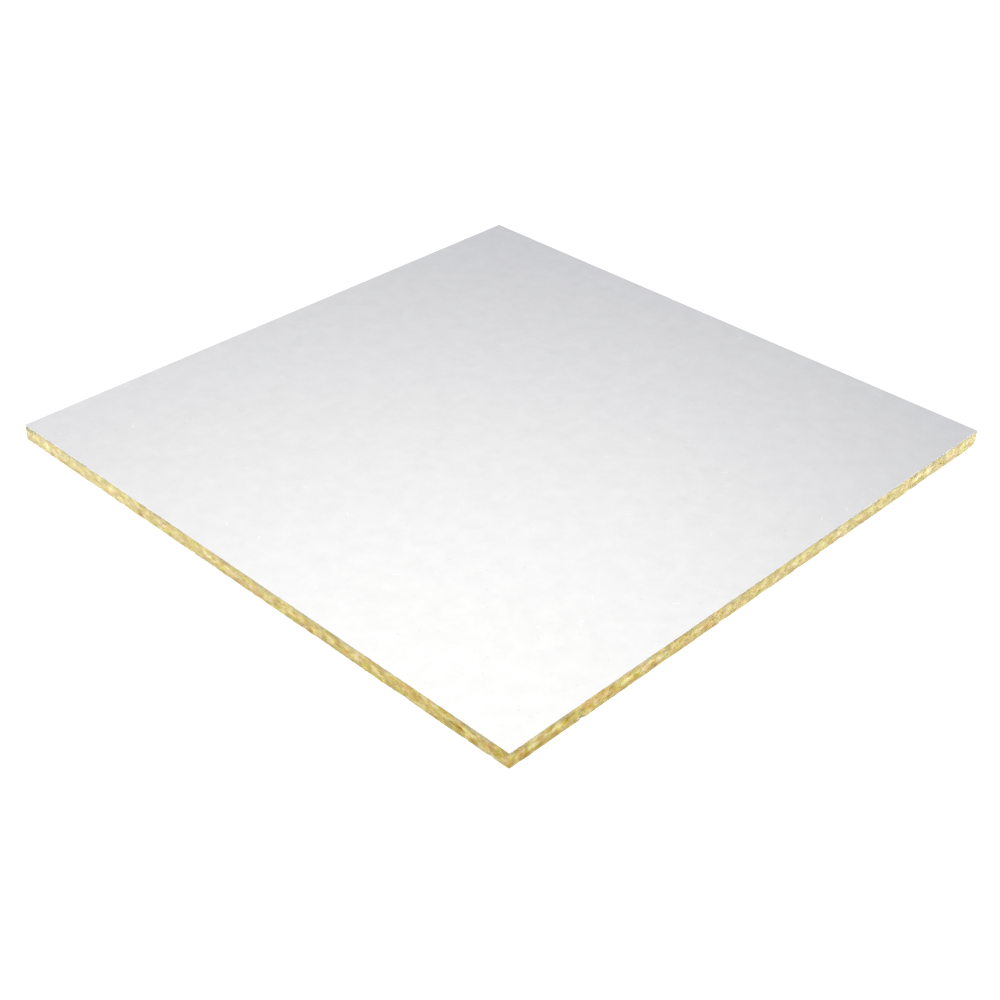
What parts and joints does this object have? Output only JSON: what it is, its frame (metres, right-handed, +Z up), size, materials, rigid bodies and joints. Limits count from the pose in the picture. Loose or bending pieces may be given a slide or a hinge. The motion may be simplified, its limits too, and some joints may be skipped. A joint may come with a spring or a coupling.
{
  "type": "suspended ceiling tile",
  "caption": "Flat square lay-in tile for a suspended ceiling grid: a yellow mineral-wool board with bare sawn edges and a matt white fleece over its room face.",
  "frame": {"origin": "middle of the back face, on the surface that the tile lies on", "axes": "+Z up out of the white room face, X and Y along the sawn edges"},
  "size_m": [0.595, 0.595, 0.015],
  "materials": {
    "mineral_wool": "raw sawn mineral wool, matt and fibrous, straw yellow mottled with ochre",
    "white_fleece": "matt white paint on a fine glass-fibre fleece"
  },
  "bodies": {
    "root": {"wool_core": "mineral_wool", "face_fleece": "white_fleece"}
  },
  "joints": []
}
